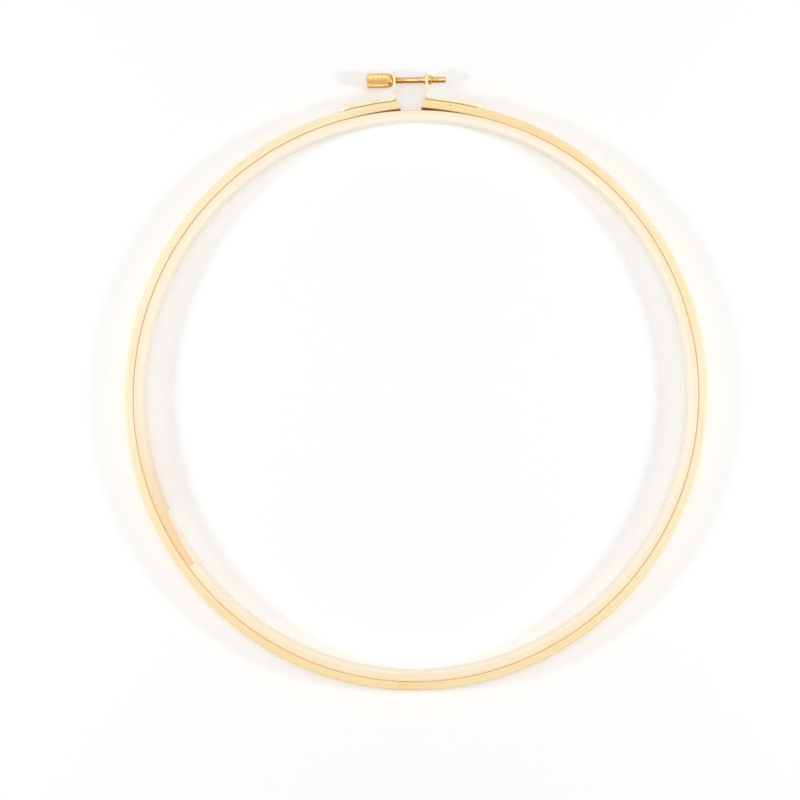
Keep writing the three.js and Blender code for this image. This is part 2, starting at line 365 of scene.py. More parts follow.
def make_outer_ring(looks):
    """One strip, from its left end at the slit, round the far side, to its right end. Its
    ends are sawn at a slant and their edges are sanded."""
    shape = section(OUTER_WALL, looks.outside_edge, looks.gap_edge, steps=5)
    soft = looks.sawn_edge
    first = (CLAMP_ANGLE + SLIT_HALF_ANGLE - math.tau) * MEAN_RADIUS
    last = (CLAMP_ANGLE - SLIT_HALF_ANGLE) * MEAN_RADIUS
    scarf = OUTER_SCARF * MEAN_RADIUS
    along = stations(first, last, scarf, looks.joint_groove)[1:-1]
    for degrees in (0, 30, 60):
        from_end = soft * (1 - math.cos(math.radians(degrees)))
        along += [first + from_end, last - from_end]
    rows = []
    for s in sorted(along):
        from_end = min(s - first, last - s)
        rounding = soft - math.sqrt(soft**2 - max(0, soft - from_end) ** 2)
        dip = looks.groove_depth * max(0, 1 - abs(s - scarf) / looks.joint_groove)
        reach = last - scarf if s > scarf else scarf - first
        row = []
        for point in shape:
            x, z = drawn_in(point, OUTER_WALL, rounding + dip)
            slant = (x + OUTER_WALL / 2) * math.tan(SLIT_SLANT) * (s - scarf) / reach
            angle = (s - slant) / MEAN_RADIUS
            row.append(polar(outside_face(wrapped(angle, -math.pi / 2)) + x, angle, z))
        rows.append(row)
    return skin("outer_ring_wood", rows)


def seat_tails(ring):
    """Sinks a flat round seat for each rivet's tail into the outer ring's cloth side."""
    radius = RIVET_TAIL / 2 + TAIL_ROOM
    cutters = []
    for side, distances in RIVETS.items():
        for distance in distances:
            angle = from_clamp(side, foot_angle(distance))
            cutter = turned("seat", [(-1 * MM, radius), (TAIL_SEAT_DEPTH, radius)], steps=40)
            place = polar(outside_face(angle) - OUTER_WALL, angle, HALF_HEIGHT)
            cutter.transform(Matrix.Translation(place) @ Matrix.Rotation(angle, 4, "Z"))
            outward(cutter)
            cutters.append(cutter)
    seats = new_object("seats", joined("seats", cutters))
    cut = ring.modifiers.new("tail seats", "BOOLEAN")
    cut.object = seats
    cut.operation = "DIFFERENCE"
    cut.solver = "EXACT"
    settled(ring)
    bpy.data.objects.remove(seats)


def is_sawn(polygon):
    """Whether a face of the outer ring is one of the two that the saw left at the slit."""
    near_slit = abs(polygon.center.x) < 2 * SLIT_HALF and polygon.center.y > CENTRE_Y
    squarely = 0.8
    return near_slit and abs(polygon.normal.x) > squarely


# The clamp


def from_clamp(side, angle):
    """An angle counted from the clamp, towards +X on side 1 and -X on side -1."""
    return CLAMP_ANGLE - side * angle


def foot_angle(distance):
    return math.asin(EAR_MIDDLE / MEAN_RADIUS) + distance / MEAN_RADIUS


def strap_line(side):
    """The middle of a strap's thickness, from the tip of its foot to the tip of its ear."""
    slit_edge = from_clamp(1, SLIT_HALF_ANGLE)
    raised = SEAT_ROOM + SHEET / 2
    bend = BEND_RADIUS + SHEET / 2
    bend_angle = math.asin((EAR_MIDDLE + bend) / (outside_face(slit_edge) + raised + bend))
    tip = abs(EAR_BOXES[side][0].x if side < 0 else EAR_BOXES[side][1].x)
    tip_angle = math.asin(tip / (MEAN_RADIUS + raised))
    line = []
    foot_steps = 60
    bend_steps = 12
    for i in range(foot_steps):
        angle = from_clamp(side, tip_angle + (bend_angle - tip_angle) * i / foot_steps)
        line.append(polar(outside_face(angle) + raised, angle))
    start = from_clamp(side, bend_angle)
    middle = polar(outside_face(start) + raised + bend, start)
    to_ear = -math.pi if side > 0 else 0
    for i in range(bend_steps + 1):
        turn = start - math.pi + (to_ear - start + math.pi) * i / bend_steps
        line.append(middle + bend * Vector((math.cos(turn), math.sin(turn), 0)))
    line.append(Vector((side * EAR_MIDDLE, SCREW_Y + STRAP_WIDTH / 2, 0)))
    return line


def lengths_of(line):
    lengths = [0]
    for a, b in zip(line, line[1:]):
        lengths.append(lengths[-1] + (b - a).length)
    return lengths


def disc(centre, radius, count, start=0, turn=math.tau):
    """Points on a circle, or on part of one."""
    turns = [start + turn * k / count for k in range(count + (turn < math.tau))]
    return [(centre + radius * math.cos(t), radius * math.sin(t)) for t in turns]


def flat_blank(name, length, holes):
    """The strap before it is bent: a flat blank with round ends and its holes."""
    end = STRAP_WIDTH / 2
    rim = disc(length - end, end, count=24, start=-math.pi / 2, turn=math.pi)
    rim += disc(end, end, count=24, start=math.pi / 2, turn=math.pi)
    curve = bpy.data.curves.new(name, "CURVE")
    curve.dimensions = "2D"
    curve.fill_mode = "BOTH"
    for outline in [rim] + [disc(place, radius, count=32) for place, radius in holes]:
        spline = curve.splines.new("POLY")
        spline.points.add(len(outline) - 1)
        spline.use_cyclic_u = True
        for point, (x, y) in zip(spline.points, outline):
            point.co = (x, y, 0, 1)
    drawn = new_object(name, curve)
    mesh = bpy.data.meshes.new_from_object(drawn)
    bpy.data.objects.remove(drawn)
    return mesh


def bend(mesh, line):
    """Lays a flat blank along a line, cut fine enough to follow it."""
    lengths = lengths_of(line)
    touching = 1e-6
    on_plane = 1e-7
    sliver = 0.05 * MM
    blank = bmesh.new()
    blank.from_mesh(mesh)
    bmesh.ops.remove_doubles(blank, verts=blank.verts, dist=touching)
    for place in lengths[1:-1]:
        bmesh.ops.bisect_plane(
            blank,
            geom=blank.verts[:] + blank.edges[:] + blank.faces[:],
            dist=on_plane,
            plane_co=(place, 0, 0),
            plane_no=(1, 0, 0),
        )
    bmesh.ops.remove_doubles(blank, verts=blank.verts, dist=sliver)
    for vertex in blank.verts:
        along, across = vertex.co.x, vertex.co.y
        k = max(0, min(len(line) - 2, sum(place < along for place in lengths) - 1))
        share = (along - lengths[k]) / (lengths[k + 1] - lengths[k])
        vertex.co = line[k].lerp(line[k + 1], share) + UP * (HALF_HEIGHT + across)
    blank.to_mesh(mesh)
    blank.free()


def make_strap(side, name, looks):
    line = strap_line(side)
    lengths = lengths_of(line)
    ear_hole = SCREW_HOLE if side < 0 else BUSH_HOLE
    holes = [(lengths[-1] - STRAP_WIDTH / 2, ear_hole / 2)]
    for distance in RIVETS[side]:
        wanted = polar(MEAN_RADIUS, from_clamp(side, foot_angle(distance)))
        near = min(range(len(line)), key=lambda k: (line[k].xy - wanted.xy).length)
        holes.append((lengths[near], RIVET_DIAMETER / 2 + TAIL_ROOM))
    mesh = flat_blank(name, lengths[-1], holes)
    bend(mesh, line)
    for kind in ("rolled", "sheared"):
        mesh.materials.append(brass(kind, looks))
    piece = new_object(name, mesh)
    solid = piece.modifiers.new("thickness", "SOLIDIFY")
    solid.material_offset_rim = 1
    solid.thickness = SHEET
    solid.offset = 0
    solid.use_even_offset = True
    edge = piece.modifiers.new("soft edges", "BEVEL")
    edge.width = looks.sheet_edge
    edge.segments = 3
    edge.limit_method = "ANGLE"
    edge.angle_limit = math.radians(60)
    settled(piece)
    outward(piece.data)
    smooth(piece, angle=30)
    return piece


def rivet_profile():
    """A rivet along X: its riveted tail, its shank and its domed head. x is 0 at the
    outside of the ring."""
    head_face = SHEET + 2 * SEAT_ROOM
    tail_face = SEAT_ROOM - OUTER_WALL
    neck = RIVET_DIAMETER / 2
    tail = RIVET_TAIL / 2
    soft = 0.12 * MM
    profile = [
        (tail_face, tail - soft),
        (tail_face + soft / 3, tail - soft / 3),
        (tail_face + soft, tail),
        (tail_face + TAIL_DEPTH, tail),
        (tail_face + TAIL_DEPTH + tail - neck, neck),
        (head_face, neck),
        (head_face, RIVET_HEAD / 2 - soft / 2),
        (head_face + soft / 2, RIVET_HEAD / 2),
    ]
    for degrees in range(20, 90, 10):
        turn = math.radians(degrees)
        x = head_face + RIVET_CROWN * math.sin(turn)
        profile.append((x, RIVET_HEAD / 2 * math.cos(turn)))
    return profile


def new_tree(name, inputs, output):
    """A Geometry Nodes tree with named inputs, each of its own kind. Also gives what adds
    a node to it, and the inputs' sockets."""
    tree = bpy.data.node_groups.new(name, "GeometryNodeTree")
    for label, kind in inputs.items():
        tree.interface.new_socket(label, in_out="INPUT", socket_type=f"NodeSocket{kind}")
    tree.interface.new_socket(output, in_out="OUTPUT", socket_type="NodeSocketGeometry")
    add = partial(add_node, tree)
    return tree, add, add("NodeGroupInput").outputs


def end_tree(tree, geometry, finish):
    """Ends a tree in real geometry that wears its finish."""
    real = add_node(tree, "GeometryNodeRealizeInstances", {"Geometry": geometry})
    finished = add_node(tree, "GeometryNodeSetMaterial", {"Geometry": real, "Material": finish})
    add_node(tree, "NodeGroupOutput", finished)
    return tree


def run_tree(piece, tree, values):
    """Adds a Geometry Nodes modifier, sets its inputs by identifier and settles it."""
    modifier = piece.modifiers.new(tree.name, "NODES")
    modifier.node_group = tree
    for item in tree.interface.items_tree:
        if item.in_out == "INPUT" and item.name in values:
            modifier[item.identifier] = values[item.name]
    return settled(piece)


def rivet_tree():
    """Geometry Nodes: one rivet at each point, turned to the point's own direction."""
    inputs = {"Points": "Geometry", "Rivet": "Object", "Finish": "Material"}
    tree, add, given = new_tree("rivets", inputs, "Rivets")
    rivet = add("GeometryNodeObjectInfo", {"Object": given["Rivet"]}).outputs["Geometry"]
    named = {"Name": "outwards"}
    outwards = add("GeometryNodeInputNamedAttribute", named, data_type="FLOAT_VECTOR")
    turn = add("FunctionNodeAlignRotationToVector", {"Vector": outwards}, axis="X")
    seats = {"Points": given["Points"], "Instance": rivet, "Rotation": turn}
    return end_tree(tree, add("GeometryNodeInstanceOnPoints", seats), given["Finish"])


def make_rivets(side, name, rivet, tree, finish):
    points = []
    directions = []
    for distance in RIVETS[side]:
        angle = from_clamp(side, foot_angle(distance))
        points.append(polar(outside_face(angle), angle, HALF_HEIGHT))
        directions.extend((math.cos(angle), math.sin(angle), 0))
    mesh = bpy.data.meshes.new(name)
    mesh.from_pydata(points, [], [])
    outwards = mesh.attributes.new("outwards", "FLOAT_VECTOR", "POINT")
    outwards.data.foreach_set("vector", directions)
    piece = run_tree(new_object(name, mesh), tree, {"Rivet": rivet, "Finish": finish})
    smooth(piece)
    return piece


def bush_profile():
    """The bush along X, 0 at the outside of the right ear: collar, neck and swaged rim."""
    bore = BUSH_BORE
    inside = -SHEET - SEAT_ROOM
    soft = BUSH_CHAMFER / 2
    return [
        (inside - SWAGE_HEIGHT, bore + soft),
        (inside - SWAGE_HEIGHT, SWAGE_RADIUS - SWAGE_HEIGHT),
        (inside - SWAGE_HEIGHT * 0.85, SWAGE_RADIUS - SWAGE_HEIGHT / 2),
        (inside - SWAGE_HEIGHT / 2, SWAGE_RADIUS - SWAGE_HEIGHT * 0.13),
        (inside, SWAGE_RADIUS),
        (inside, BUSH_NECK),
        (SEAT_ROOM, BUSH_NECK),
        (SEAT_ROOM, BUSH_RADIUS - soft),
        (SEAT_ROOM + soft, BUSH_RADIUS),
        (BUSH_LENGTH - BUSH_CHAMFER, BUSH_RADIUS),
        (BUSH_LENGTH, BUSH_RADIUS - BUSH_CHAMFER),
        (BUSH_LENGTH, bore + soft),
        (BUSH_LENGTH - soft, bore),
        (inside - SWAGE_HEIGHT + soft, bore),
        (inside - SWAGE_HEIGHT, bore + soft),
    ]


def knurl_tree():
    """Geometry Nodes: presses a diamond knurl into a turned part. Two families of
    grooves cross at an angle, and a point sinks into the nearer groove."""
    sizes = ("From", "To", "Pitch", "Around", "Depth", "Crest")
    inputs = {"Blank": "Geometry", **dict.fromkeys(sizes, "Float"), "Finish": "Material"}
    tree, add, given = new_tree("diamond knurl", inputs, "Knurled")
    place = add("GeometryNodeInputPosition")
    axes = add(AXES, place).outputs
    past = add(MATH, axes["X"], given["From"], operation="SUBTRACT")
    along = add(MATH, past, given["Pitch"], operation="DIVIDE")
    turn = add(MATH, axes["Z"], axes["Y"], operation="ARCTAN2")
    share = add(MATH, turn, math.tau, operation="DIVIDE")
    around = add(MATH, share, given["Around"], operation="MULTIPLY")
    ridges = []
    for way in ("ADD", "SUBTRACT"):
        helix = add(MATH, along, around, operation=way)
        ridges.append(add(MATH, helix, 0.5, operation="PINGPONG"))
    height = add(MATH, *ridges, operation="MINIMUM")
    reach = {"From Max": given["Crest"], "To Min": given["Depth"], "To Max": 0.0}
    sunk = add(RANGE, {"Value": height, **reach})
    before = add(MATH, axes["X"], given["To"], operation="LESS_THAN")
    after = add(MATH, past, 0.0, operation="GREATER_THAN")
    chosen = add(MATH, before, after, operation="MULTIPLY")
    flat = add(VECTOR, place, (0, -1, -1), operation="MULTIPLY")
    inward = add(VECTOR, flat, operation="NORMALIZE")
    shift = add(VECTOR, {0: inward, "Scale": sunk}, operation="SCALE")
    press = {"Geometry": given["Blank"], "Selection": chosen, "Offset": shift}
    return end_tree(tree, add("GeometryNodeSetPosition", press), given["Finish"])


def thread_tree():
    """Geometry Nodes: a right-hand thread, as a ridge that runs round a rod in a helix
    and dies away at both ends. It is nearly a pitch wide at its root, and blunt on top."""
    sizes = ("Length", "Pitch", "Core", "Depth")
    inputs = {"Rod": "Geometry", **dict.fromkeys(sizes, "Float"), "Finish": "Material"}
    tree, add, given = new_tree("thread", inputs, "Threaded")
    turns = add(MATH, given["Length"], given["Pitch"], operation="DIVIDE")
    path = {
        "Resolution": 36,
        "Rotations": turns,
        "Start Radius": given["Core"],
        "End Radius": given["Core"],
        "Height": given["Length"],
        "Reverse": True,
    }
    helix = add("GeometryNodeCurveSpiral", path)
    upright = add("GeometryNodeSetCurveNormal", {"Curve": helix}, mode="Z_UP")
    share = add("GeometryNodeSplineParameter").outputs["Factor"]
    folded = add(MATH, share, 0.5, operation="PINGPONG")
    from_end = add(MATH, folded, turns, operation="MULTIPLY")
    fade = add(RANGE, {"Value": from_end, "To Min": 0.02})
    faded = add("GeometryNodeSetCurveRadius", {"Curve": upright, "Radius": fade})
    shape = {"Offset": 0.0}
    for size, value, times in (
        ("Bottom Width", given["Pitch"], 0.875),
        ("Top Width", given["Pitch"], 0.125),
        ("Height", given["Depth"], 2.0),
    ):
        shape[size] = add(MATH, value, times, operation="MULTIPLY")
    ridge = add("GeometryNodeCurvePrimitiveQuadrilateral", shape, mode="TRAPEZOID")
    sweep = {"Curve": faded, "Profile Curve": ridge, "Fill Caps": True}
    swept = add("GeometryNodeCurveToMesh", sweep)
    along_x = {"Geometry": swept, "Rotation": (0, math.pi / 2, 0)}
    laid = add("GeometryNodeTransform", along_x)
    both = add("GeometryNodeJoinGeometry", laid)
    tree.links.new(given["Rod"], both.inputs[0])
    return end_tree(tree, both, given["Finish"])


def make_head(looks, finish):
    """The knurled head and its shoulder, x from 0 at its free end."""
    start = HEAD_CHAMFER
    end = HEAD_LENGTH - HEAD_CHAMFER
    diamonds = round((end - start) / looks.knurl_pitch)
    around = round(math.tau * HEAD_RADIUS / looks.knurl_pitch)
    fineness = 12
    rows = fineness * diamonds
    wide, narrow = SHOULDER_RADII
    cap = 1.2 * MM
    soft = 0.15 * MM
    hair = 0.01 * MM
    profile = [
        (0, cap),
        (0, KNURL_VALLEY - HEAD_CHAMFER),
        (HEAD_CHAMFER * 0.8, KNURL_VALLEY),
        *((start + (end - start) * i / rows, HEAD_RADIUS) for i in range(rows + 1)),
        (HEAD_LENGTH - HEAD_CHAMFER * 0.6, KNURL_VALLEY),
        (HEAD_LENGTH, wide),
        (HEAD_LENGTH + SHOULDER_LENGTH - soft, narrow + soft * 0.2),
        (HEAD_LENGTH + SHOULDER_LENGTH, narrow - soft * 0.8),
    ]
    blank = turned("thumb_screw_head", profile, steps=fineness * around)
    piece = new_object("thumb_screw_head", blank)
    values = {
        "From": start - hair,
        "To": end + hair,
        "Pitch": (end - start) / diamonds,
        "Around": float(around),
        "Depth": looks.knurl_depth,
        "Crest": 0.27,
        "Finish": finish,
    }
    run_tree(piece, knurl_tree(), values)
    piece.data.transform(Matrix.Translation((SCREW_BOX[0].x, SCREW_Y, HALF_HEIGHT)))
    return piece


def make_rod(looks, finish):
    """The threaded rod, x from 0 at the shoulder. Its root is inside the head."""
    length = SCREW_BOX[1].x - SHOULDER_X
    tip = 0.3 * MM
    root = -1 * MM
    profile = [(root, CORE_RADIUS), (length - tip, CORE_RADIUS), (length, CORE_RADIUS - tip)]
    piece = new_object("thumb_screw_rod", turned("thumb_screw_rod", profile, steps=48))
    values = {
        "Length": length - tip,
        "Pitch": looks.thread_pitch,
        "Core": CORE_RADIUS,
        "Depth": THREAD_RADIUS - CORE_RADIUS,
        "Finish": finish,
    }
    run_tree(piece, thread_tree(), values)
    piece.data.transform(Matrix.Translation((SHOULDER_X, SCREW_Y, HALF_HEIGHT)))
    return piece


# Materials


def new_material(name):
    """An empty node material, and what adds a node to it."""
    material = bpy.data.materials.new(name)
    material.use_nodes = True
    material.node_tree.nodes.clear()
    return material, partial(add_node, material.node_tree)


def painted(add, colour, coats):
    """A colour under coats of others. A coat is where it lies, its strength and colour."""
    colour = [*colour, 1]
    for amount, strength, tone in coats:
        share = add(MATH, amount, strength, operation="MULTIPLY")
        mixed = add(MIX, {0: share, 6: colour, 7: [*tone, 1]}, data_type="RGBA")
        colour = mixed.outputs[2]
    return colour


def beech(name, looks, colours, spots, lap_start, stain_length):
    """Beech, steam-bent from a sawn strip, sanded and given a thin satin lacquer. Pale
    and even, with growth layers that run along the strip, fine fibres and short darker
    ray flecks. Glue has stained the blunt end of the scarf joint orange. The colours are
    the pale wood, its darker stretches and its layers. Each spot is a place in the strip,
    its reach, its strength and its colour. Places, reaches and patterns are in
    millimetres: along the strip, in from the cloth gap and up."""
    pale, shade, layer = colours
    material, add = new_material(name)
    strip = add("ShaderNodeAttribute", attribute_name="strip").outputs["Vector"]
    place = add(VECTOR, {0: strip, "Scale": 1 / MM}, operation="SCALE")
    along, depth, height = add(AXES, place).outputs

    # In the scarf joint the strip's blunt end lies on the cloth's side of the glue line,
    # and its feather end lies beyond the line.
    lap = LAP_LENGTH / MM
    wall = (OUTER_WALL + CLOTH_ROOM) / MM
    line = add(RANGE, {"Value": along, "From Max": lap, "To Min": lap_start, "To Max": wall})
    in_lap = add(MATH, along, lap, operation="LESS_THAN")
    over = add(MATH, depth, line, operation="GREATER_THAN")
    feather = add(MATH, over, in_lap, operation="MULTIPLY")
    off = add(MATH, depth, line, operation="SUBTRACT")
    off_line = add(MATH, off, operation="ABSOLUTE")
    near_line = add(RANGE, {"Value": off_line, "From Min": 0.02, "From Max": 0.07, **FALLING})
    glue = add(MATH, near_line, in_lap, operation="MULTIPLY")
    soaked = add(RANGE, {"Value": along, "From Max": stain_length / MM, **FALLING}, **SMOOTH)
    blunt = add(MATH, 1.0, feather, operation="SUBTRACT")
    stain = add(MATH, soaked, blunt, operation="MULTIPLY")

    # Painted shade on the wood that faces the cloth gap, most of all near the upper and lower
    #     # face, darkens the line between the rings
    reach = {"From Min": 0.05, "From Max": 0.5, **FALLING}
    gap_side = add(RANGE, {"Value": depth, **reach}, **SMOOTH)
    from_face = add(MATH, height, HALF_HEIGHT / MM, operation="PINGPONG")
    reach = {"From Min": 0.6, "From Max": 2.0, "To Min": 1.0, "To Max": 0.3}
    near_face = add(RANGE, {"Value": from_face, **reach})
    painted_gap_shade = add(MATH, gap_side, near_face, operation="MULTIPLY")

    # The feather end is the far end of the strip, with the grain that comes there
    whole = (STRIP_LENGTH / MM, 0, 0)
    moved = add(VECTOR, {0: whole, "Scale": feather}, operation="SCALE")
    grain = add(VECTOR, place, moved, operation="ADD")
    # Each pattern has its size, its detail and the part of the noise that shows. Real
    # fibres are finer than 0.1 mm, and are drawn coarser here so that they show.
    patterns = {}
    for pattern, size, detail, low, high in (
        ("layers", (85, 0.9, 2.4), 2.0, 0.35, 0.7),
        ("fibres", (7, 0.16, 0.2), 2.0, 0.2, 0.8),
        ("flecks", (2.6, 0.2, 0.3), 1.0, 0.67, 0.75),
        ("drift", (46, 9, 14), 1.0, 0.3, 0.7),
    ):
        scaled = add(VECTOR, grain, size, operation="DIVIDE")
        texture = {"Vector": scaled, "Scale": 1.0, "Detail": detail, "Roughness": 0.6}
        noise = add("ShaderNodeTexNoise", texture)
        reach = {"From Min": low, "From Max": high}
        patterns[pattern] = add(RANGE, {"Value": noise, **reach}, **SMOOTH)
    coats = [
        (patterns["drift"], 1.0, shade),
        (patterns["layers"], looks.layer_contrast, layer),
        (patterns["fibres"], looks.fibre_contrast, layer),
        (patterns["flecks"], looks.fleck_contrast, looks.fleck_colour),
        (stain, looks.stain_strength, looks.stain_colour),
        (glue, looks.glue_strength, looks.glue_colour),
        (painted_gap_shade, looks.gap_shade_strength, looks.gap_shade_colour),
    ]
    for centre, size, strength, tone in spots:
        off = add(VECTOR, grain, centre, operation="SUBTRACT")
        scaled = add(VECTOR, off, size, operation="DIVIDE")
        distance = add(VECTOR, scaled, operation="LENGTH").outputs["Value"]
        inside = add(RANGE, {"Value": distance, "From Min": 0.25, **FALLING}, **SMOOTH)
        coats.append((inside, strength, tone))

    spread = 0.06
    reach = {"To Min": looks.wood_roughness - spread, "To Max": looks.wood_roughness + spread}
    relief = add(MATH, patterns["flecks"], -0.4, patterns["fibres"], operation="MULTIPLY_ADD")
    raised = {"Height": relief, "Strength": 0.6, "Distance": looks.fibre_depth}
    lacquered = {
        "Base Color": painted(add, pale, coats),
        "Roughness": add(RANGE, {"Value": patterns["fibres"], **reach}),
        "Normal": add("ShaderNodeBump", raised),
        "IOR": 1.5,
        "Coat Weight": 0.12,
        "Coat Roughness": 0.3,
    }
    surface = add("ShaderNodeBsdfPrincipled", lacquered)
    add("ShaderNodeOutputMaterial", {"Surface": surface})
    return material


def bare_brass(name, tint, worn, roughness, marks, depth, groove=None, stained=None):
    """Bare brass. Marks from rolling or turning, of that size, give it a satin sheen, and
    tarnish darkens it in patches. The bottom of a thread or a knurl, where fingers don't
    polish it, is browner: a groove is its lowest and highest radius and its colour. One side
    of a rod gets painted shade: the shade's two edges across the rod and its colour."""
    material, add = new_material(name)
    place = add("ShaderNodeTexCoord").outputs["Object"]
    noises = []
    for size in (marks, TARNISH_PATCHES):
        scaled = add(VECTOR, place, size, operation="DIVIDE")
        noises.append(add("ShaderNodeTexNoise", {"Vector": scaled, "Scale": 1.0, "Detail": 3.0}))
    fine, patches = noises
    tarnish = add(RANGE, {"Value": patches, "From Min": 0.42, "From Max": 0.68})
    coats = [(tarnish, 1.0, worn)]
    if groove:
        low, high, dark = groove
        axis = (0, SCREW_Y, HALF_HEIGHT)
        across = add(VECTOR, place, (0, 1, 1), operation="MULTIPLY")
        radius = add(VECTOR, across, axis, operation="DISTANCE").outputs["Value"]
        sunk = add(RANGE, {"Value": radius, "From Min": low, "From Max": high, **FALLING})
        coats.append((sunk, 1.0, dark))
    # Painted shade: the rod's side towards -Y is darkened
    if stained:
        edge, middle, dark = stained
        across = add(AXES, place).outputs["Y"]
        reach = {"From Min": middle, "From Max": edge, **FALLING}
        shade_share = add(RANGE, {"Value": across, **reach}, **SMOOTH)
        coats.append((shade_share, 0.85, dark))
    reach = {
        "From Min": 0.3,
        "From Max": 0.7,
        "To Min": roughness - 0.05,
        "To Max": roughness + 0.07,
    }
    metal = {
        "Base Color": painted(add, tint, coats),
        "Metallic": 1.0,
        "Roughness": add(RANGE, {"Value": fine, **reach}),
        "Normal": add("ShaderNodeBump", {"Height": fine, "Strength": 0.5, "Distance": depth}),
    }
    add("ShaderNodeOutputMaterial", {"Surface": add("ShaderNodeBsdfPrincipled", metal)})
    return material


def brass(kind, looks):
    """Brass by the way it was worked. Rolled sheet, as in the straps and the rivets, is
    pale with fine marks, and its sheared edges are matt and paler. Bar turned on a lathe
    is deeper in colour, with marks close together, and a knurl or a thread is browner at
    its bottom. Each kind has its colour, its tarnish, its roughness and its marks."""
    knurl = (HEAD_RADIUS - 0.15 * MM, HEAD_RADIUS - 0.03 * MM, looks.knurl_groove)
    thread = (CORE_RADIUS, THREAD_RADIUS - 0.05 * MM, looks.thread_groove)
    # Painted shade along the rod's side towards -Y
    oil = (SCREW_Y - 0.45 * MM, SCREW_Y - 0.9 * MM, looks.thread_shade)
    colours = {
        "rolled": (looks.sheet_colour, looks.sheet_tarnish),
        "sheared": (looks.sheared_colour, looks.sheared_tarnish),
        "turned": (looks.turned_colour, looks.turned_tarnish),
        "knurled": (looks.knurl_colour, looks.turned_colour),
        "threaded": (looks.thread_colour, looks.turned_colour),
    }
    surfaces = {
        "rolled": (0.4, ROLLING_MARKS, 0.005 * MM),
        "sheared": (0.58, SHEAR_MARKS, 0.006 * MM),
        "turned": (0.3, LATHE_MARKS, 0.003 * MM),
        "knurled": (0.4, LATHE_MARKS, 0.003 * MM, knurl),
        "threaded": (0.36, LATHE_MARKS, 0.002 * MM, thread, oil),
    }
    name = f"{kind}_brass"
    known = bpy.data.materials.get(name)
    return known or bare_brass(name, *colours[kind], *surfaces[kind])


# Settings


def length_setting(name, description, default):
    return bpy.props.FloatProperty(
        name=name, description=description, default=default, min=0, precision=5, unit="LENGTH"
    )


def share_setting(name, description, default):
    return bpy.props.FloatProperty(
        name=name, description=description, default=default, min=0, max=1, subtype="FACTOR"
    )


def colour_setting(name, description, code):
    colour = {"default": linear(code), "size": 3, "min": 0, "max": 1, "subtype": "COLOR"}
    return bpy.props.FloatVectorProperty(name=name, description=description, **colour)


class HOOP_PG_wood(bpy.types.PropertyGroup):
    outside_edge: length_setting("Outside edge", "Radius round the outside", 1 * MM)
    gap_edge: length_setting("Gap edge", "Radius on both sides of the cloth gap", 0.25 * MM)
    inside_edge: length_setting("Inside edge", "Radius round the field", 0.5 * MM)
    sawn_edge: length_setting("Sawn edge", "Radius of the sanded sawn ends", 0.2 * MM)
    cloth_gap: length_setting("Cloth gap", "Between the rings while no cloth is in", 0.06 * MM)
    joint_groove: length_setting("Joint width", "Half width of the joint's line", 0.14 * MM)
    groove_depth: length_setting("Joint depth", "How deep the joint's line is", 0.09 * MM)
    fibre_depth: length_setting("Fibre depth", "Height of the raised fibres", 0.02 * MM)
    inner_pale: colour_setting("Inner ring", "Its palest wood", "#fff7e6")
    inner_shade: colour_setting("Inner ring, shade", "Its darker stretches", "#fef4de")
    inner_layer: colour_setting("Inner ring, layers", "Its growth layers", "#f5e7c8")
    outer_pale: colour_setting("Outer ring", "Its palest wood", "#fef4da")
    outer_shade: colour_setting("Outer ring, shade", "Its darker stretches", "#fdf0cc")
    outer_layer: colour_setting("Outer ring, layers", "Its growth layers", "#f1dca8")
    warm_colour: colour_setting("Warm wood", "The redder stretches of both rings", "#f9d695")
    # Painted shade in the crevice between the rings at the clamp
    crevice_shade_colour: colour_setting("Worn wood", "In the gap at the clamp", "#a8783c")
    # Painted light: a paler inner edge by the field, which lightens its shaded wall
    edge_light_colour: colour_setting("Sanded wood", "The inner ring's edge by the field", "#fdf3e8")
    sawn_colour: colour_setting("Sawn ends", "The end grain at the slit", "#e8c992")
    fleck_colour: colour_setting("Fleck colour", "Ray flecks", "#c9a06a")
    knot_colour: colour_setting("Knot", "The small knot beside the clamp", "#b99a66")
    stain_colour: colour_setting("Stain colour", "Glue-stained wood", "#f3c68f")
    glue_colour: colour_setting("Glue colour", "The glue line", "#b98a52")
    # Painted shade on the wood that faces the cloth gap
    gap_shade_colour: colour_setting("Gap colour", "Wood that faces the cloth gap", "#d8a45c")
    layer_contrast: share_setting("Layers", "How dark the growth layers are", 0.42)
    fibre_contrast: share_setting("Fibres", "How dark the fine fibres are", 0.3)
    fleck_contrast: share_setting("Flecks", "How dark the ray flecks are", 0.28)
    stain_strength: share_setting("Stain", "How strong the glue's stain is", 0.75)
    glue_strength: share_setting("Glue line", "How strong the glue line is", 0.45)
    # How strong the painted shade in the cloth gap is
    gap_shade_strength: share_setting("Gap", "How brown the wood in the cloth gap is", 0.6)
    wood_roughness: share_setting("Roughness", "Of the lacquered wood", 0.46)


class HOOP_PG_clamp(bpy.types.PropertyGroup):
    sheet_edge: length_setting("Sheet edge", "Radius of the straps' edges", 0.1 * MM)
    knurl_pitch: length_setting("Knurl pitch", "From diamond to diamond", 1.2 * MM)
    knurl_depth: length_setting("Knurl depth", "Depth of the grooves", 0.25 * MM)
    thread_pitch: length_setting("Thread pitch", "Of the M3 thread", 0.5 * MM)
    sheet_colour: colour_setting("Straps", "Rolled brass", "#f6dfa6")
    sheet_tarnish: colour_setting("Straps, tarnish", "Rolled brass in patches", "#e8cb90")
    sheared_colour: colour_setting("Straps, edges", "Sheared brass", "#fff3d6")
    sheared_tarnish: colour_setting("Edges, tarnish", "Sheared brass in patches", "#f5e0b6")
    turned_colour: colour_setting("Bush", "Turned brass", "#f6d48e")
    turned_tarnish: colour_setting("Bush, tarnish", "Turned brass in patches", "#dfae66")
    knurl_colour: colour_setting("Knurl", "The polished crests", "#f2d2a4")
    knurl_groove: colour_setting("Knurl, grooves", "The bottom of the grooves", "#fbd488")
    thread_colour: colour_setting("Thread", "The thread's crests", "#fce4b8")
    thread_groove: colour_setting("Thread, grooves", "The thread's root", "#d69e58")
    # Painted shade on the rod's side towards -Y
    thread_shade: colour_setting("Thread, stain", "Old oil on one side of it", "#d69a50")


